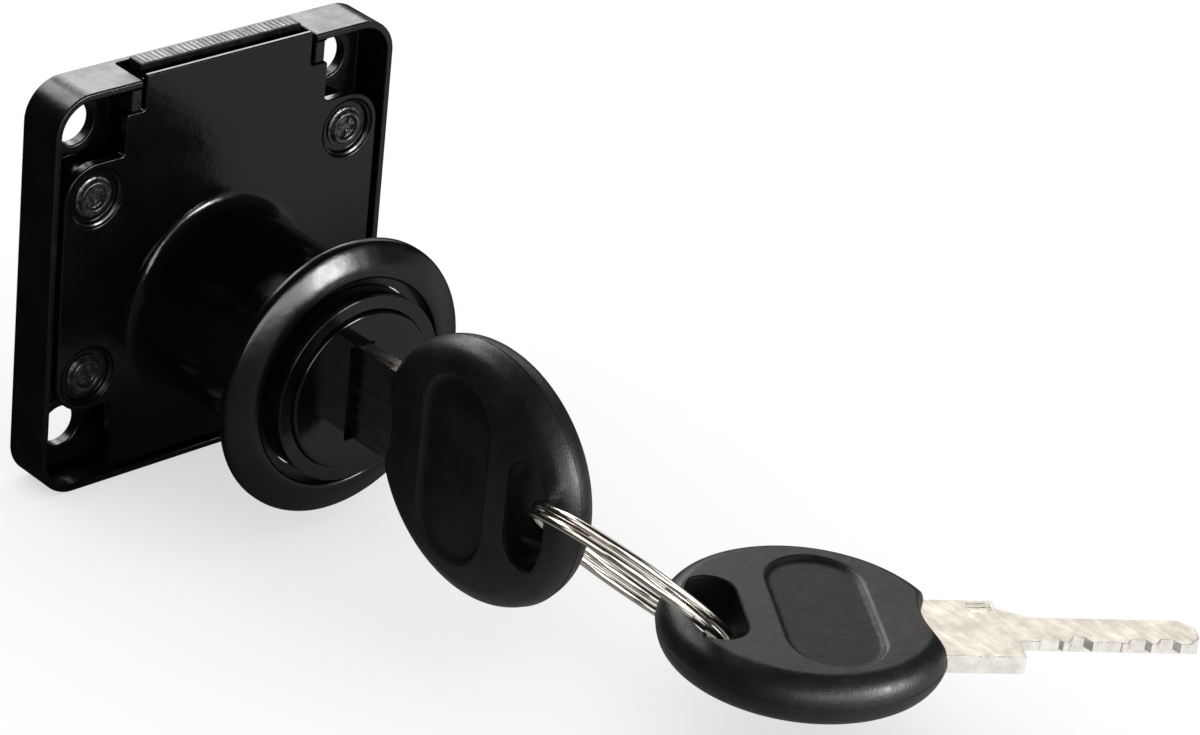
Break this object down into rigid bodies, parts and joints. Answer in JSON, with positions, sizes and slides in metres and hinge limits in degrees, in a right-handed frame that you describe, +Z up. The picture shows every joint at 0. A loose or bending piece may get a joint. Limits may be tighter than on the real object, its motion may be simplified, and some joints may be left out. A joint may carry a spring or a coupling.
{
  "type": "desk drawer lock",
  "caption": "Black surface-mounted drawer lock with a flat case, a round barrel with trim ring, a sliding bolt and a key in the plug with a spare key on a split ring.",
  "frame": {"origin": "centre of the four mounting holes, on the back of the case where the screw heads rest", "axes": "+X to the right of someone who faces the lock, +Y into the drawer, away from the key, +Z up, the way the bolt is thrown"},
  "size_m": [0.0633, 0.0961, 0.043],
  "materials": {
    "case_black": "satin black coating on die-cast zinc",
    "cover_black": "satin black coating on die-cast zinc",
    "screw_black": "black oxide steel",
    "bolt_black": "black coated steel with a fine brushed grain",
    "plug_black": "black coated zinc",
    "wafer_brass": "stamped brass",
    "spring_steel": "spring steel wire",
    "trim_black": "gloss black coated steel",
    "key_nickel": "nickel plated brass",
    "key_plastic": "satin black moulded plastic",
    "ring_nickel": "nickel plated steel wire"
  },
  "bodies": {
    "case": {"rear_case": "case_black", "front_cover": "cover_black", "cover_screws": "screw_black"},
    "plug": {"plug": "plug_black", "wafer_spring_1": "spring_steel", "wafer_spring_2": "spring_steel", "wafer_spring_3": "spring_steel", "wafer_spring_4": "spring_steel", "wafer_spring_5": "spring_steel", "retainer_spring": "spring_steel"},
    "bolt": {"bolt": "bolt_black"},
    "retainer": {"retainer": "wafer_brass"},
    "trim_ring": {"trim_ring": "trim_black"},
    "key": {"key_blade": "key_nickel", "key_head": "key_plastic"},
    "split_ring": {"split_ring": "ring_nickel"},
    "spare_key": {"spare_key_blade": "key_nickel", "spare_key_head": "key_plastic"},
    "wafer_1": {"wafer_1": "wafer_brass"},
    "wafer_2": {"wafer_2": "wafer_brass"},
    "wafer_3": {"wafer_3": "wafer_brass"},
    "wafer_4": {"wafer_4": "wafer_brass"},
    "wafer_5": {"wafer_5": "wafer_brass"}
  },
  "joints": [
    {"name": "plug_turn", "type": "hinge", "parent": "case", "child": "plug", "pos_m": [0, -0.02, -0.00415], "axis": [0, 1, 0], "range_deg": [0, 180]},
    {"name": "bolt_slide", "type": "slide", "parent": "case", "child": "bolt", "axis": [0, 0, 1], "range_m": [0, 0.008]},
    {"name": "trim_ring_slide", "type": "slide", "parent": "case", "child": "trim_ring", "axis": [0, 1, 0], "range_m": [-0.002, 0.016]},
    {"name": "key_withdraw", "type": "slide", "parent": "plug", "child": "key", "axis": [0, -1, 0], "range_m": [0, 0.033]},
    {"name": "wafer_1_rise", "type": "slide", "parent": "plug", "child": "wafer_1", "axis": [0, 0, 1], "range_m": [0, 0.0009], "deforming": ["wafer_spring_1"]},
    {"name": "wafer_2_rise", "type": "slide", "parent": "plug", "child": "wafer_2", "axis": [0, 0, 1], "range_m": [0, 0.0009], "deforming": ["wafer_spring_2"]},
    {"name": "wafer_3_rise", "type": "slide", "parent": "plug", "child": "wafer_3", "axis": [0, 0, 1], "range_m": [0, 0.0009], "deforming": ["wafer_spring_3"]},
    {"name": "wafer_4_rise", "type": "slide", "parent": "plug", "child": "wafer_4", "axis": [0, 0, 1], "range_m": [0, 0.0009], "deforming": ["wafer_spring_4"]},
    {"name": "wafer_5_rise", "type": "slide", "parent": "plug", "child": "wafer_5", "axis": [0, 0, 1], "range_m": [0, 0.0009], "deforming": ["wafer_spring_5"]},
    {"name": "retainer_press", "type": "slide", "parent": "plug", "child": "retainer", "axis": [0, 0, -1], "range_m": [0, 0.0009], "stiffness_N_per_m": 400, "springref_m": -0.001, "deforming": ["retainer_spring"]},
    {"name": "ring_turn", "type": "hinge", "parent": "key", "child": "split_ring", "pos_m": [0.00184, -0.06308, -0.00669], "axis": [0.7013, 0.0355, 0.7119], "range_deg": [-35, 35]},
    {"name": "spare_key_turn", "type": "hinge", "parent": "split_ring", "child": "spare_key", "pos_m": [0.00184, -0.06308, -0.00669], "axis": [0.7013, 0.0355, 0.7119], "range_deg": [-25, 25]}
  ],
  "couplings": [
    {"joint": "bolt_slide", "follows": "plug_turn", "m_per_rad": 0.0025465},
    {"joint": "wafer_1_rise", "follows": "key_withdraw", "ratio": 0.027272},
    {"joint": "wafer_2_rise", "follows": "key_withdraw", "ratio": 0.027272},
    {"joint": "wafer_3_rise", "follows": "key_withdraw", "ratio": 0.027272},
    {"joint": "wafer_4_rise", "follows": "key_withdraw", "ratio": 0.027272},
    {"joint": "wafer_5_rise", "follows": "key_withdraw", "ratio": 0.027272}
  ]
}
